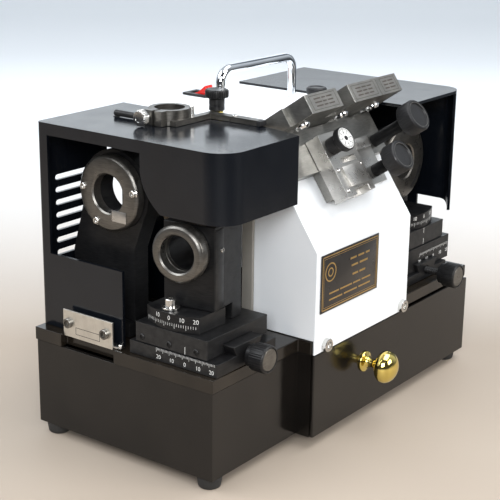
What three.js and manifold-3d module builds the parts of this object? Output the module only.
// Bench-top cutter grinder with a hooded grinding station at each end.
// Millimetres, +Z up. Parts are placed in the machine frame: X runs from the left end, Y from the drawer
// front towards the back, Z up from the table. The last lines move the origin to the bottom centre.
import * as THREE from "three";
import { mergeVertices } from "three/addons/utils/BufferGeometryUtils.js";
import Module from "manifold-3d";

const wasm = await Module();
wasm.setup();

// ---- driving dimensions -------------------------------------------------------------------------
const LENGTH = 288; // along X, over the top plate
const DEPTH = 156; // along Y, over the top plate
const KNOB_REACH = 24; // the drawer knob stands this far in front of the drawer
const GAP = 0.3; // clearance between pieces that touch
const FOOT = 7.5; // height of a rubber foot
const WING_SETBACK = 12; // the left wing's front stands back from the drawer front
const BODY_X = [87, 199]; // sides of the white body
const RIGHT_BACK = 148; // back edge of the right wing
const PLATE = [64, 72.5]; // underside and top of the top plate
const WALL = 3; // wall of the base box
const FRONT_TOP = 130.5; // where the body's front turns into the slope
const SLOPE_RUN = 49; // depth of the slope
const BODY_TOP = 202.5;
const BODY_BACK = 150;
const HOOD_TOP = 204;
const HOOD_WALL = 2;
const SHEET = 2; // body sheet
const SPINDLE = { y: 79, z: 151, radius: 6 };
const MOTOR_RADIUS = 38;
const WHEEL_RADIUS = 30;
const FEED_Z = 79; // height of both feed screws
const SCREW_RADIUS = 2.6;
const FEED_KNOB = { radius: 8.7, length: 14 };
const SOCKET_BORE = 12.2; // radius of the bore in the large socket rings
const LOWER_BORE = 11.5; // radius of the bore in the left slide's socket ring

// ---- materials ----------------------------------------------------------------------------------
const finish = (color, roughness, metalness) =>
  new THREE.MeshStandardMaterial({ color, roughness, metalness });
const GLOSS_BLACK = finish(0x1b1a19, 0.22, 0.1);
const HOOD_BLACK = finish(0x202329, 0.3, 0.1);
const WHITE_POWDER = finish(0xe8ebee, 0.55, 0);
const BLACK_OXIDE = finish(0x1d1e1f, 0.45, 0.6);
const GREY_STEEL = finish(0x6f6b62, 0.4, 0.9);
const BRIGHT_STEEL = finish(0xb9b8b4, 0.25, 1);
const SATIN_STEEL = finish(0xc9c6bd, 0.45, 0.9);
const CHROME = finish(0xe6e8ea, 0.06, 1);
const BRASS = finish(0xd3a93a, 0.15, 1);
const RED_PLASTIC = finish(0xb5161a, 0.3, 0);
const BLACK_PLASTIC = finish(0x141414, 0.4, 0);
const RUBBER = finish(0x171717, 0.85, 0);
const ABRASIVE = finish(0x8d6f4e, 0.95, 0);
const MOTOR_GREY = finish(0x55585c, 0.5, 0.5);

// ---- shape helpers ------------------------------------------------------------------------------
function solid(geometry) {
  const plain = geometry.clone();
  plain.deleteAttribute("normal");
  plain.deleteAttribute("uv");
  const merged = mergeVertices(plain, 1e-4);
  const triVerts = new Uint32Array(merged.index.array);
  const build = () =>
    new wasm.Manifold(
      new wasm.Mesh({ numProp: 3, vertProperties: merged.attributes.position.array, triVerts }),
    );
  const made = build();
  if (made.volume() > 0) return made;
  triVerts.reverse(); // a profile drawn the other way round faces inwards
  return build();
}

const join = (first, ...rest) => rest.reduce((all, s) => all.add(s), first);
const cut = (first, ...rest) => rest.reduce((all, s) => all.subtract(s), first);

function block([x0, x1], [y0, y1], [z0, z1]) {
  const box = new THREE.BoxGeometry(x1 - x0, y1 - y0, z1 - z0);
  return solid(box.translate((x0 + x1) / 2, (y0 + y1) / 2, (z0 + z1) / 2));
}

// Turns a shape made along local +Z into one along a machine axis, and moves it.
// A local (u, v) outline is (y, z) for x, (x, z) for y and (x, y) for z.
const ALONG = {
  x: new THREE.Matrix4().makeBasis(
    new THREE.Vector3(0, 1, 0),
    new THREE.Vector3(0, 0, 1),
    new THREE.Vector3(1, 0, 0),
  ),
  y: new THREE.Matrix4().makeBasis(
    new THREE.Vector3(1, 0, 0),
    new THREE.Vector3(0, 0, 1),
    new THREE.Vector3(0, -1, 0),
  ),
  z: new THREE.Matrix4(),
};

function along(axis, geometry, from, to, u = 0, v = 0) {
  const start = axis === "y" ? to : from;
  const place = { x: [start, u, v], y: [u, start, v], z: [u, v, start] }[axis];
  return geometry.applyMatrix4(ALONG[axis]).translate(...place);
}

function extruded(axis, shape, from, to, curveSegments = 8) {
  const geometry = new THREE.ExtrudeGeometry(shape, {
    depth: to - from,
    bevelEnabled: false,
    curveSegments,
  });
  return solid(along(axis, geometry, from, to));
}

const outline = (points) => new THREE.Shape(points.map(([u, v]) => new THREE.Vector2(u, v)));
const prism = (axis, points, from, to) => extruded(axis, outline(points), from, to);

function rod(axis, radius, [from, to], u, v, sides = 24) {
  const length = to - from;
  const cylinder = new THREE.CylinderGeometry(radius, radius, length, sides);
  cylinder.rotateX(Math.PI / 2).translate(0, 0, length / 2);
  return solid(along(axis, cylinder, from, to, u, v));
}

// A turned piece: profile of [radius, distance] pairs, the distance measured along a machine axis.
function turned(axis, profile, u, v, sides = 32) {
  const points = profile.map(([r, d]) => new THREE.Vector2(r, d));
  const lathe = new THREE.LatheGeometry(points, sides).rotateX(Math.PI / 2);
  if (axis === "y") lathe.scale(1, 1, -1);
  const made = along(axis, lathe, 0, 0, u, v);
  return solid(made);
}

const mesh = (name, manifold, material) => {
  const { vertProperties, triVerts } = manifold.getMesh();
  const geometry = new THREE.BufferGeometry();
  geometry.setAttribute("position", new THREE.BufferAttribute(new Float32Array(vertProperties), 3));
  geometry.setIndex(new THREE.BufferAttribute(new Uint32Array(triVerts), 1));
  geometry.computeVertexNormals();
  const made = new THREE.Mesh(geometry, material);
  made.name = name;
  return made;
};

const group = (...children) => new THREE.Group().add(...children);

// ---- base ---------------------------------------------------------------------------------------
// Outline of the base seen from above, pulled in all round; the middle's front can stand further back.
function baseOutline(inset, front = inset) {
  const step = BODY_X[0] - 1 + inset;
  return [
    [inset, WING_SETBACK + inset],
    [step, WING_SETBACK + inset],
    [step, front],
    [LENGTH - inset, front],
    [LENGTH - inset, RIGHT_BACK - inset],
    [BODY_X[1] + 1 - inset, RIGHT_BACK - inset],
    [BODY_X[1] + 1 - inset, DEPTH - inset],
    [inset, DEPTH - inset],
  ];
}

const BOX_INSET = 0.8;
const BOX_TOP = PLATE[0] - GAP;
const FLOOR_TOP = FOOT + 3;
const DRAWER_BAY = { x: [90, 284], back: 112 };

function baseBox() {
  const shell = prism("z", baseOutline(BOX_INSET, 2.6), FOOT, BOX_TOP);
  const up = [FLOOR_TOP, BOX_TOP + 1];
  return mesh(
    "base_box",
    cut(
      shell,
      block([BOX_INSET + WALL, 83.5], [WING_SETBACK + BOX_INSET + WALL, 152], up),
      block(DRAWER_BAY.x, [-1, DRAWER_BAY.back], up),
      block([90, 196], [DRAWER_BAY.back + WALL, 152], up),
      block([195, 284], [DRAWER_BAY.back + WALL, 144], up),
    ),
    GLOSS_BLACK,
  );
}

function topPlate() {
  const notch = block([-1, 6], [89, 133.4], [PLATE[0] - 1, PLATE[1] + 1]);
  return mesh("top_plate", cut(prism("z", baseOutline(0, 2), ...PLATE), notch), GLOSS_BLACK);
}

const FEET = {
  foot_left_front: [9, 21],
  foot_left_back: [9, 146],
  foot_right_front: [279, 11],
  foot_right_back: [279, 138],
};

const feet = () =>
  Object.entries(FEET).map(([name, [x, y]]) => {
    const profile = [
      [0, 0],
      [6.6, 0],
      [7.2, 0.8],
      [8, FOOT - GAP],
      [0, FOOT - GAP],
    ];
    return mesh(name, turned("z", profile, x, y, 24), RUBBER);
  });

const DRAWER_KNOB = { x: 147, z: 41.5 };

function drawer() {
  const wall = 1.8;
  const tray = block([94, 280], [2, 104], [FLOOR_TOP + 0.5, 46]);
  const hollow = block([94 + wall, 280 - wall], [2 + wall, 104 - wall], [FLOOR_TOP + 0.5 + wall, 50]);
  const front = block([87, LENGTH - 0.6], [0, 2.2], [FOOT + 0.3, BOX_TOP - 0.4]);
  return mesh("drawer", cut(join(front, tray), hollow), GLOSS_BLACK);
}

function drawerKnob() {
  const reach = (d) => -d;
  const profile = [
    [0, reach(0.3)],
    [7, reach(0.3)],
    [6.6, reach(1.8)],
    [3.4, reach(3)],
    [2.9, reach(8)],
    [4, reach(10.5)],
    [9, reach(13)],
    [10.8, reach(16.5)],
    [10, reach(20)],
    [6.5, reach(23)],
    [0, reach(KNOB_REACH)],
  ];
  return mesh("drawer_knob", turned("y", profile, DRAWER_KNOB.x, DRAWER_KNOB.z), BRASS);
}

// ---- white body ---------------------------------------------------------------------------------
const SIDE_BOTTOM = PLATE[1] + GAP;

// Side view of the body as (y, z), pulled in all round by an inset.
function bodyProfile(inset) {
  const angle = Math.atan2(BODY_TOP - FRONT_TOP, SLOPE_RUN);
  const low = inset * Math.tan((Math.PI / 2 - angle) / 2);
  const high = inset * Math.tan(angle / 2);
  return [
    [inset, SIDE_BOTTOM],
    [inset, FRONT_TOP - low],
    [SLOPE_RUN + high, BODY_TOP - inset],
    [BODY_BACK - inset, BODY_TOP - inset],
    [BODY_BACK - inset, SIDE_BOTTOM],
  ];
}

function bodyShell() {
  const [left, right] = BODY_X;
  const lower = ([first, ...rest]) => [[first[0], SIDE_BOTTOM - 2], ...rest.slice(0, -1), [
    rest.at(-1)[0],
    SIDE_BOTTOM - 2,
  ]];
  const shell = cut(
    prism("x", bodyProfile(0), left, right),
    prism("x", lower(bodyProfile(SHEET)), left + SHEET, right - SHEET),
    block([left + SHEET, right - SHEET], [BODY_BACK - 5, BODY_BACK + 1], [74, BODY_TOP - 3]),
    rod("x", 13, [left - 1, right + 1], SPINDLE.y, SPINDLE.z),
    block([141, 152], [130, 147], [BODY_TOP - 4, BODY_TOP + 1]),
  );
  const lip = block([left, right], [0, 1.5], [BOX_TOP + 0.1, SIDE_BOTTOM + 1]);
  return mesh("body_shell", join(shell, lip), WHITE_POWDER);
}

function rearPanel() {
  const panel = block([89.3, 196.7], [BODY_BACK - 2, BODY_BACK], [74.3, BODY_TOP - 3.3]);
  const louvres = [0, 1, 2, 3, 4].map((i) =>
    block([110, 176], [BODY_BACK - 4, BODY_BACK + 1], [130 + i * 12, 134 + i * 12]),
  );
  const inletHole = block([129, 157], [BODY_BACK - 4, BODY_BACK + 1], [84, 104]);
  return mesh("rear_panel", cut(panel, ...louvres, inletHole), WHITE_POWDER);
}

function powerInlet() {
  const flange = block([124, 162], [BODY_BACK + GAP, BODY_BACK + 3], [81, 107]);
  const body = block([129.4, 156.6], [BODY_BACK - 16, BODY_BACK + 1], [84.4, 103.6]);
  const mouth = block([132, 154], [BODY_BACK - 13, BODY_BACK + 4], [87, 101]);
  const pins = [136.5, 143, 149.5].map((x) =>
    block([x - 0.8, x + 0.8], [BODY_BACK - 14, BODY_BACK - 5], [92, 96.5]),
  );
  return mesh("power_inlet", join(cut(join(flange, body), mouth), ...pins), BLACK_PLASTIC);
}

const namePlate = () =>
  mesh("nameplate", block([91, 157.5], [-0.9, -GAP], [90.2, 127.8]), BLACK_OXIDE);

const bodyScrews = () =>
  Object.entries({ body_screw_left: 99, body_screw_right: 192 }).map(([name, x]) => {
    const head = turned("y", [[0, -0.3], [4.4, -0.3], [4.2, -1.8], [2.6, -3], [0, -3.2]], x, 68, 24);
    const hex = rod("y", 1.6, [-4, -1.4], x, 68, 6);
    return mesh(name, cut(head, hex), BRIGHT_STEEL);
  });

function carryHandle() {
  const [left, right, top, bend, y] = [103, 182, 230.5, 9, 88];
  const path = new THREE.CurvePath();
  const v = (x, z) => new THREE.Vector3(x, y, z);
  path.add(new THREE.LineCurve3(v(left, BODY_TOP + GAP), v(left, top - bend)));
  path.add(new THREE.QuadraticBezierCurve3(v(left, top - bend), v(left, top), v(left + bend, top)));
  path.add(new THREE.LineCurve3(v(left + bend, top), v(right - bend, top)));
  path.add(new THREE.QuadraticBezierCurve3(v(right - bend, top), v(right, top), v(right, top - bend)));
  path.add(new THREE.LineCurve3(v(right, top - bend), v(right, BODY_TOP + GAP)));
  const section = new THREE.Shape().absarc(0, 0, 3, 0, Math.PI * 2);
  const tube = new THREE.ExtrudeGeometry(section, { steps: 48, extrudePath: path, curveSegments: 12 });
  return mesh("carry_handle", solid(tube), CHROME);
}

// ---- rocker switch ------------------------------------------------------------------------------
const SWITCH = { x: [139, 154], y: [128, 149], pivot: [138.5, 203.5] };

function switchBezel() {
  const [[x0, x1], [y0, y1]] = [SWITCH.x, SWITCH.y];
  const rim = block([x0, x1], [y0, y1], [BODY_TOP + GAP, BODY_TOP + 1.8]);
  const can = block([x0 + 2.3, x1 - 2.3], [y0 + 2.3, y1 - 2.3], [BODY_TOP - 14, BODY_TOP + 1]);
  const opening = block([x0 + 3, x1 - 3], [y0 + 3, y1 - 3], [BODY_TOP - 8, BODY_TOP + 3]);
  return mesh("switch_bezel", cut(join(rim, can), opening), BLACK_PLASTIC);
}

function switchRocker() {
  const [y, z] = SWITCH.pivot;
  const profile = [
    [y - 6.6, z - 1.5],
    [y - 3.5, z - 5],
    [y + 3.5, z - 5],
    [y + 6.6, z - 1.5],
    [y + 6.2, z - 0.4],
    [y, z + 1.6],
    [y - 6.2, z + 6.6],
    [y - 7, z + 5.4],
  ];
  return mesh("switch_rocker", prism("x", profile, SWITCH.x[0] + 3.5, SWITCH.x[1] - 3.5), RED_PLASTIC);
}

// ---- motor, spindle and wheels ------------------------------------------------------------------
function motor() {
  const [y, z] = [SPINDLE.y, SPINDLE.z];
  const shape = join(
    rod("x", MOTOR_RADIUS, [112, 174], y, z, 40),
    rod("x", MOTOR_RADIUS - 4, [104, 182], y, z, 40),
    rod("x", 12, [98, 188], y, z),
    block([120, 166], [y + 30, y + 52], [z - 14, z + 14]),
  );
  return mesh("motor", cut(shape, rod("x", SPINDLE.radius + 0.4, [90, 196], y, z)), MOTOR_GREY);
}

function motorCradle() {
  const saddle = block([114, 172], [SPINDLE.y - 34, SPINDLE.y + 34], [SIDE_BOTTOM, 128]);
  const seat = rod("x", MOTOR_RADIUS + 0.4, [110, 176], SPINDLE.y, SPINDLE.z, 40);
  const tunnel = block([110, 176], [SPINDLE.y - 24, SPINDLE.y + 24], [SIDE_BOTTOM + 4, 100]);
  return mesh("motor_cradle", cut(saddle, seat, tunnel), BLACK_OXIDE);
}

const SPINDLE_X = [62, 226];

function spindle() {
  const { y, z, radius } = SPINDLE;
  const shaft = rod("x", radius, SPINDLE_X, y, z, 24);
  const collars = [
    rod("x", 10.5, [80.3, 86], y, z),
    rod("x", 10.5, [200.5, 206], y, z),
  ];
  return mesh("spindle", join(shaft, ...collars), BRIGHT_STEEL);
}

// A cup wheel seen from its open face: back plate, rim and a bore for the spindle.
function cupWheel(name, back, towards) {
  const at = (d) => back + towards * d;
  const radius = WHEEL_RADIUS;
  const bore = SPINDLE.radius + 0.2;
  const profile = [
    [bore, at(0)],
    [radius - 6, at(0)],
    [radius, at(5)],
    [radius, at(12)],
    [radius - 12, at(12)],
    [radius - 13, at(5)],
    [bore, at(5)],
    [bore, at(0)],
  ];
  return mesh(name, turned("x", profile, SPINDLE.y, SPINDLE.z, 48), ABRASIVE);
}

function wheelNut(name, from, to) {
  const nut = join(
    rod("x", 9, [from, to], SPINDLE.y, SPINDLE.z, 6),
    rod("x", 11, from < 100 ? [to - 1.5, to] : [from, from + 1.5], SPINDLE.y, SPINDLE.z),
  );
  return mesh(name, cut(nut, rod("x", SPINDLE.radius + 0.2, [from - 1, to + 1], SPINDLE.y, SPINDLE.z)), BRIGHT_STEEL);
}

const drive = () => [
  motor(),
  motorCradle(),
  spindle(),
  cupWheel("left_wheel", 80, -1),
  cupWheel("right_wheel", 206.3, 1),
  wheelNut("left_wheel_nut", 68, 74.6),
  wheelNut("right_wheel_nut", 211.7, 218.3),
];

// ---- left hood ----------------------------------------------------------------------------------
// Its right edge follows the body back to `shoulder`, and slants in to `frontX` in front of that.
const LEFT_HOOD = { x: [7.5, 86.6], y: [9, 156], round: 17, back: 3, shoulder: 47, frontX: 77.5 };
const PORT = { x: 58, y: 92, bore: 9.5 };

function hoodPlan(inset, open) {
  const { x: [x0, x1], y: [y0, y1], round, back, shoulder, frontX } = LEFT_HOOD;
  const shape = new THREE.Shape();
  const past = open ? 4 : 0;
  shape.moveTo(frontX + past, y0 + inset);
  shape.lineTo(x1 + past, shoulder);
  shape.lineTo(x1 + past, y1 - inset);
  shape.lineTo(x0 + back, y1 - inset);
  shape.absarc(x0 + back, y1 - back, back - inset, Math.PI / 2, Math.PI, false);
  shape.lineTo(x0 + inset, y0 + round);
  shape.absarc(x0 + round, y0 + round, round - inset, Math.PI, Math.PI * 1.5, false);
  shape.closePath();
  return shape;
}

// Everything taken out of the left hood's end face: the window and the open corner below it.
function endFaceOpening() {
  const shape = new THREE.Shape();
  shape.moveTo(0, 60);
  shape.lineTo(87.4, 60);
  shape.lineTo(87.4, 121);
  shape.lineTo(147.5, 121);
  shape.lineTo(147.5, 196.5);
  shape.lineTo(72.3, 196.5);
  shape.lineTo(72.3, 186);
  shape.quadraticCurveTo(71, 172, 57, 162);
  shape.lineTo(0, 162);
  shape.closePath();
  return shape;
}

function leftHood() {
  const shell = cut(
    extruded("z", hoodPlan(0, false), SIDE_BOTTOM, HOOD_TOP, 10),
    extruded("z", hoodPlan(HOOD_WALL, true), 60, HOOD_TOP - HOOD_WALL, 10),
    extruded("x", endFaceOpening(), 0, 12),
    block([0, 90], [0, 30.5], [60, 162]),
    rod("z", PORT.bore, [HOOD_TOP - 5, HOOD_TOP + 1], PORT.x, PORT.y, 32),
  );
  const slots = [...Array(7).keys()].map((i) => {
    const z = 117 + i * 8.2;
    return join(
      block([22, 62], [152, 158], [z - 1.8, z + 1.8]),
      rod("y", 1.8, [152, 158], 22, z, 12),
      rod("y", 1.8, [152, 158], 62, z, 12),
    );
  });
  const dustOutlet = block([68, 84], [152, 158], [122, 178]);
  return mesh("left_hood", cut(shell, ...slots, dustOutlet), HOOD_BLACK);
}

function hoodLatch() {
  const leaf = block([2.4, 4], [91.6, 133], [71.4, 88.9]);
  const spacer = block([3.9, 7.2], [100, 126], [74, 84]);
  return mesh("hood_latch", join(leaf, spacer), SATIN_STEEL);
}

const guardStrip = () =>
  mesh("guard_strip", block([84, 86.4], [47, 55], [SIDE_BOTTOM, 158]), SATIN_STEEL);

// ---- right hood ---------------------------------------------------------------------------------
const RIGHT_HOOD = { x: [199.4, 281], y: [8, 146], round: 15 };

function rightHood() {
  const { x: [x0, x1], y: [y0, y1], round } = RIGHT_HOOD;
  const plan = (inset, left) => {
    const shape = new THREE.Shape();
    shape.moveTo(left, y0 + inset);
    shape.lineTo(x1 - round, y0 + inset);
    shape.absarc(x1 - round, y0 + round, round - inset, -Math.PI / 2, 0, false);
    shape.lineTo(x1 - inset, y1 - inset);
    shape.lineTo(left, y1 - inset);
    shape.closePath();
    return shape;
  };
  const endCutout = new THREE.Shape();
  endCutout.moveTo(13, 60);
  endCutout.lineTo(41, 60);
  endCutout.lineTo(41, 122);
  endCutout.lineTo(20, 122);
  endCutout.absarc(20, 115, 7, Math.PI / 2, Math.PI, false);
  endCutout.closePath();
  const shell = cut(
    extruded("z", plan(0, x0), SIDE_BOTTOM, HOOD_TOP, 10),
    extruded("z", plan(HOOD_WALL, x0 - 2), 60, HOOD_TOP - HOOD_WALL, 10),
    block([x0 - 1, x1 - round + 4], [0, y0 + 6], [60, HOOD_TOP - HOOD_WALL]),
    block([x0 - 1, x1 + 1], [0, y0 + 5], [60, 117]),
    extruded("x", endCutout, x1 - round, x1 + 1),
  );
  return mesh("right_hood", shell, HOOD_BLACK);
}

// ---- left upper socket --------------------------------------------------------------------------
const UPPER = { y: 109.8, z: 163.2, radius: 24 };

function leftBracket() {
  const x = [27.3, 40];
  const [front, back] = [95, 146];
  const leg = prism(
    "x",
    [
      [front, SIDE_BOTTOM],
      [back, SIDE_BOTTOM],
      [back, 120],
      [UPPER.y + 26, UPPER.z - 8],
      [UPPER.y - 25, UPPER.z - 8],
      [front, 128],
    ],
    ...x,
  );
  const head = rod("x", 26.5, x, UPPER.y, UPPER.z, 48);
  const foot = block([22, 62], [front, back], [SIDE_BOTTOM, SIDE_BOTTOM + 9]);
  const bore = rod("x", SOCKET_BORE + 1.5, [20, 50], UPPER.y, UPPER.z, 40);
  return mesh("left_bracket", cut(join(leg, head, foot), bore), BLACK_OXIDE);
}

// A flanged socket ring: outer flange, stepped spigot behind and a through bore.
function socketRing(name, axis, front, towards, flange, bore, u, v) {
  const at = (d) => front + towards * d;
  const profile = [
    [bore, at(1)],
    [bore + 1, at(0)],
    [flange - 1, at(0)],
    [flange, at(1)],
    [flange, at(7)],
    [bore, at(7)],
    [bore, at(1)],
  ];
  return mesh(name, turned(axis, profile, u, v, 48), GREY_STEEL);
}

const upperSocket = () =>
  socketRing("upper_socket", "x", 20, 1, UPPER.radius, SOCKET_BORE, UPPER.y, UPPER.z);

// ---- slide units --------------------------------------------------------------------------------
// A dovetail along local Y: half widths at its foot and its top.
const DOVETAIL = { foot: 11, top: 14, height: 6 };

const dovetailSection = (centre, z, clearance) => [
  [centre - DOVETAIL.foot - clearance, z - clearance],
  [centre + DOVETAIL.foot + clearance, z - clearance],
  [centre + DOVETAIL.top + clearance, z + DOVETAIL.height + clearance],
  [centre - DOVETAIL.top - clearance, z + DOVETAIL.height + clearance],
];

// Way plate with its dovetail, the bore of the feed screw and the slot for the feed nut.
function way(name, x, y, plateTop, screwX, slot) {
  const plate = block(x, y, [SIDE_BOTTOM, plateTop]);
  const tail = prism("y", dovetailSection(screwX, plateTop, 0), ...y);
  return mesh(
    name,
    cut(
      join(plate, tail),
      rod("y", SCREW_RADIUS + 0.5, [y[0] - 1, y[1] - 4], screwX, FEED_Z),
      block([screwX - 3.6, screwX + 3.6], slot, [FEED_Z - 5, 100]),
    ),
    BLACK_OXIDE,
  );
}

function feedNut(name, x, [y0, y1], top) {
  const nut = block([x - 2.9, x + 2.9], [y0, y1], [FEED_Z - 4, top]);
  const thread = rod("y", SCREW_RADIUS + 0.2, [y0 - 1, y1 + 1], x, FEED_Z);
  return mesh(name, cut(nut, thread), BRASS);
}

function feedScrew(name, x, front, end) {
  const back = front + FEED_KNOB.length;
  const { radius } = FEED_KNOB;
  const profile = [
    [0, front],
    [radius - 0.8, front],
    [radius, front + 0.8],
    [radius, back - 4],
    [radius - 1.6, back - 3.4],
    [radius - 1.6, back - 0.5],
    [SCREW_RADIUS, back],
    [SCREW_RADIUS, end],
    [0, end],
  ];
  return mesh(name, turned("y", profile, x, FEED_Z, 28), BLACK_OXIDE);
}

// Swivel plate as seen on the left unit: an arc scale facing -X, pivot at the origin.
const SWIVEL = { radius: 44.5, half: 20, thick: 10.2 };

function swivelPlan(back) {
  const { radius, half } = SWIVEL;
  const spread = Math.asin(half / radius);
  const shape = new THREE.Shape();
  shape.moveTo(back, -half);
  shape.lineTo(back, half);
  shape.lineTo(-radius * Math.cos(spread), half);
  shape.absarc(0, 0, radius, Math.PI - spread, Math.PI + spread, false);
  shape.closePath();
  return shape;
}

// Left unit ---------------------------------------------------------------------------------------
const LEFT_SLIDE = { x: 34, way: [12, 79], carriage: [20, 75], deck: 81, top: 93.5 };
const LEFT_PIVOT = [50, 50];
const RING_TURN = THREE.MathUtils.degToRad(8); // the tool block is bolted on at this angle

function leftCarriage() {
  const { x, carriage, deck, top } = LEFT_SLIDE;
  const slab = block([5, 64], carriage, [deck + GAP, top]);
  const groove = prism("y", dovetailSection(x, deck, GAP), carriage[0] - 1, carriage[1] + 1);
  return mesh("left_carriage", cut(slab, groove), BLACK_OXIDE);
}

function leftSwivelUnit() {
  const base = LEFT_SLIDE.top + GAP;
  const deck = base + SWIVEL.thick;
  const plate = mesh("left_swivel", extruded("z", swivelPlan(-15), base, deck, 12), BLACK_OXIDE);
  const screw = turned("z", [[0, deck + 0.3], [5.6, deck + 0.3], [5.6, deck + 1.5], [3.4, deck + 1.6],
    [3.4, deck + 6.5], [0, deck + 6.5]], -37, 4, 20);
  const hex = rod("z", 1.7, [deck + 4, deck + 8], -37, 4, 6);
  const clamp = mesh("left_clamp_screw", cut(screw, hex), BRIGHT_STEEL);

  const [ringY, ringZ] = [2.1, 139.6];
  const upper = block([-16, 16], [-17.5, 17.5], [deck + GAP, 156]);
  const heel = block([5, 16], [-17.5, 17.5], [base, deck + 1]);
  const bore = rod("x", LOWER_BORE + 0.3, [-20, 20], ringY, ringZ, 40);
  const column = mesh("left_column", cut(join(upper, heel), bore), BLACK_OXIDE);
  const ring = socketRing("lower_socket", "x", -27, 1, 17.6, LOWER_BORE, ringY, ringZ);
  const sleeve = mesh(
    "lower_sleeve",
    cut(
      rod("x", 16.5, [-19.7, -16.3], ringY, ringZ, 40),
      rod("x", LOWER_BORE, [-22, -14], ringY, ringZ, 40),
    ),
    GREY_STEEL,
  );
  const toolBlock = group(column, ring, sleeve);
  toolBlock.position.set(-14, -2, 0);
  toolBlock.rotation.z = RING_TURN;
  const unit = group(plate, clamp, toolBlock);
  unit.position.set(...LEFT_PIVOT, 0);
  return unit;
}

const leftSlideUnit = () => [
  way("left_way", [4, 62], LEFT_SLIDE.way, LEFT_SLIDE.deck, LEFT_SLIDE.x, [28, 71]),
  leftCarriage(),
  feedNut("left_feed_nut", LEFT_SLIDE.x, [44, 52], LEFT_SLIDE.deck + DOVETAIL.height),
  feedScrew("left_feed_screw", LEFT_SLIDE.x, -4, 74),
  leftSwivelUnit(),
];

// Right unit --------------------------------------------------------------------------------------
// A cross slide fed along Y carries a carriage that moves along X, turned a quarter from the left unit.
const RIGHT_SLIDE = {
  x: 242,
  way: [9, 92],
  wayTop: 79.5,
  cross: { x: [206, 278], y: [12, 70], z: [79.8, 97] },
  carriage: { x: [214, 270], y: [13, 69], top: 109.7 },
  dovetailY: 41,
};
const RIGHT_PIVOT = [242, 58];

function rightCrossSlide() {
  const { x, cross, wayTop, dovetailY } = RIGHT_SLIDE;
  const slab = block(cross.x, cross.y, cross.z);
  const groove = prism("y", dovetailSection(x, wayTop, GAP), cross.y[0] - 1, cross.y[1] + 1);
  const tail = prism("x", dovetailSection(dovetailY, cross.z[1], 0), ...cross.x);
  return mesh("right_cross_slide", cut(join(slab, tail), groove), BLACK_OXIDE);
}

function rightCarriage() {
  const { cross, carriage, dovetailY } = RIGHT_SLIDE;
  const slab = block(carriage.x, carriage.y, [cross.z[1] + GAP, carriage.top]);
  const groove = prism("x", dovetailSection(dovetailY, cross.z[1], GAP), 200, 290);
  return mesh("right_carriage", cut(slab, groove), BLACK_OXIDE);
}

function rightSwivelUnit() {
  const base = RIGHT_SLIDE.carriage.top + GAP;
  const deck = base + SWIVEL.thick;
  const turnedPlate = extruded("z", swivelPlan(10), base, deck, 12).rotate([0, 0, 90]);
  const plate = mesh("right_swivel", turnedPlate, BLACK_OXIDE);
  const ringZ = 154.5;
  const body = block([-19, 19], [-19.7, -6], [deck + GAP, 176]);
  const bore = rod("y", SOCKET_BORE + 0.3, [-40, 5], 0, ringZ, 40);
  const column = mesh("right_column", cut(body, bore), BLACK_OXIDE);
  const ring = socketRing("right_socket", "y", -27, 1, 27.5, SOCKET_BORE, 0, ringZ);
  const unit = group(plate, column, ring);
  unit.position.set(...RIGHT_PIVOT, 0);
  return unit;
}

const rightSlideUnit = () => [
  way("right_way", [214, 270], RIGHT_SLIDE.way, RIGHT_SLIDE.wayTop, RIGHT_SLIDE.x, [24, 62]),
  rightCrossSlide(),
  feedNut("right_feed_nut", RIGHT_SLIDE.x, [37, 45], RIGHT_SLIDE.wayTop + DOVETAIL.height),
  feedScrew("right_feed_screw", RIGHT_SLIDE.x, -16.5, 82),
  rightCarriage(),
  rightSwivelUnit(),
];

// ---- port and plunger on the left hood ----------------------------------------------------------
function portClamp() {
  const z = [HOOD_TOP + GAP, 213.5];
  const ring = rod("z", 13, z, PORT.x, PORT.y, 40);
  const lugs = block([42, 52], [85, 98.5], z);
  const strip = block([48, 87.5], [78.6, 83.4], [z[0], 207.6]);
  const rail = block([81.5, 87.5], [43, 80], [z[0], 207.6]);
  const bore = rod("z", PORT.bore, [200, 220], PORT.x, PORT.y, 40);
  const split = block([40, 52], [90.6, 92.4], [200, 220]);
  return mesh("port_clamp", cut(join(ring, lugs, strip, rail), bore, split), GREY_STEEL);
}

function portThumbscrew() {
  const profile = [
    [0, 34],
    [4.6, 34],
    [5, 34.6],
    [5, 39],
    [2.4, 39.4],
    [2.4, 41.6],
    [0, 41.6],
  ];
  return mesh("port_thumbscrew", turned("x", profile, 96.3, 209.4, 24), BRIGHT_STEEL);
}

function indexPlunger() {
  const [x, y, z] = [92.5, 82.5, BODY_TOP + GAP];
  const seat = mesh("plunger_seat", turned("z", [[0, z], [5.2, z], [5.2, z + 1.4], [4.1, z + 1.5],
    [4.1, z + 4.2], [0, z + 4.2]], x, y, 24), BRASS);
  const foot = z + 4.6;
  const knob = mesh("index_plunger", turned("z", [[0, foot], [4.6, foot], [5, foot + 0.5],
    [5, foot + 7.4], [4, foot + 8], [7.5, foot + 8.2], [7.5, foot + 12.6], [6.6, foot + 13.4],
    [0, foot + 13.6]], x, y, 32), BLACK_OXIDE);
  return [seat, knob];
}

// ---- tool-setting fixture on the slope ----------------------------------------------------------
// Built in the slope's own frame: X across, Y up the slope, Z out from it.
function settingBase() {
  const bar = block([90, 196], [46, 74.7], [0.4, 9]);
  const tongue = block([118, 150], [27, 47], [0.4, 9]);
  return mesh("setting_base", join(bar, tongue), GREY_STEEL);
}

const COMB_BORES = [109, 153, 184];

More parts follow.
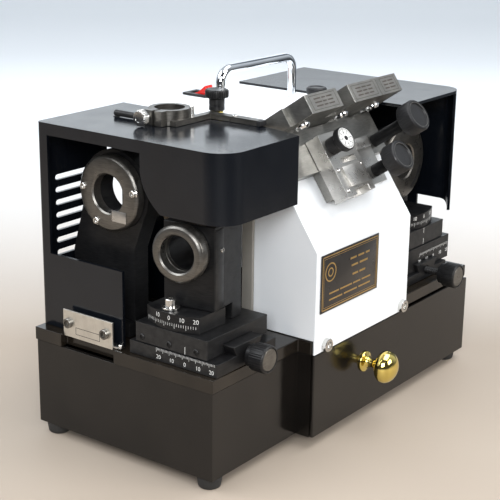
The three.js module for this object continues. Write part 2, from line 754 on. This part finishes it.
function settingComb() {
  const rail = block([90, 197.5], [75, 87.5], [1, 22]);
  const towers = [
    [93, 127],
    [140, 172.5],
    [173, 197.5],
  ].map(([x0, x1]) => block([x0, x1], [75, 87.5], [21, 39]));
  const web = block([172, 174], [75, 87.5], [21, 37.5]);
  const bores = COMB_BORES.map((x) => rod("y", 8, [70, 92], x, 13, 28));
  return mesh("setting_comb", cut(join(rail, ...towers, web), ...bores), GREY_STEEL);
}

function settingSlide() {
  const [deck, top, step] = [9.3, 20, 15];
  const plate = block([114, 146], [23, 66], [deck, top]);
  const side = block([145, 170], [26, 58], [deck, step]);
  const upperSlot = block([126, 141], [44.5, 48], [14, top + 1]);
  const lowerSlot = block([125, 140], [22, 27], [12, top + 1]);
  return mesh("setting_slide", cut(join(plate, side), upperSlot, lowerSlot), GREY_STEEL);
}

const knobProfile = (foot, neck, bottom, radius, top) => [
  [0, foot],
  [neck, foot],
  [neck, bottom],
  [radius - 0.7, bottom],
  [radius, bottom + 0.7],
  [radius, top - 0.7],
  [radius - 0.7, top],
  [0, top],
];

const KNOBS = {
  setting_dial: { at: [122, 56.5], profile: knobProfile(20.4, 5.6, 28.5, 7.7, 33), finish: SATIN_STEEL },
  slide_knob: { at: [161, 34], profile: knobProfile(15.4, 4.2, 29, 10.3, 40), finish: BLACK_PLASTIC },
  comb_knob: { at: [185, 54], profile: knobProfile(9.4, 4.2, 38, 10.8, 49), finish: BLACK_PLASTIC },
};

function settingFixture() {
  const knobs = Object.entries(KNOBS).map(([name, { at, profile, finish: material }]) =>
    mesh(name, turned("z", profile, ...at, 32), material),
  );
  const fixture = group(settingBase(), settingComb(), settingSlide(), ...knobs);
  fixture.position.set(0, 0, FRONT_TOP);
  fixture.rotation.x = Math.atan2(BODY_TOP - FRONT_TOP, SLOPE_RUN);
  return fixture;
}

function lockKnob() {
  const z = BODY_TOP + GAP;
  const profile = knobProfile(z, 3.4, z + 5.2, 6.8, z + 10.4);
  return mesh("comb_lock_knob", turned("z", profile, 175, 62.8, 28), BLACK_PLASTIC);
}

// ---- the machine --------------------------------------------------------------------------------
const machine = group(
  baseBox(),
  topPlate(),
  ...feet(),
  drawer(),
  drawerKnob(),
  bodyShell(),
  rearPanel(),
  powerInlet(),
  namePlate(),
  ...bodyScrews(),
  carryHandle(),
  switchBezel(),
  switchRocker(),
  ...drive(),
  leftHood(),
  hoodLatch(),
  guardStrip(),
  rightHood(),
  leftBracket(),
  upperSocket(),
  ...leftSlideUnit(),
  ...rightSlideUnit(),
  portClamp(),
  portThumbscrew(),
  ...indexPlunger(),
  settingFixture(),
  lockKnob(),
);
machine.position.set(-LENGTH / 2, (KNOB_REACH - DEPTH) / 2, 0);

export default group(machine);
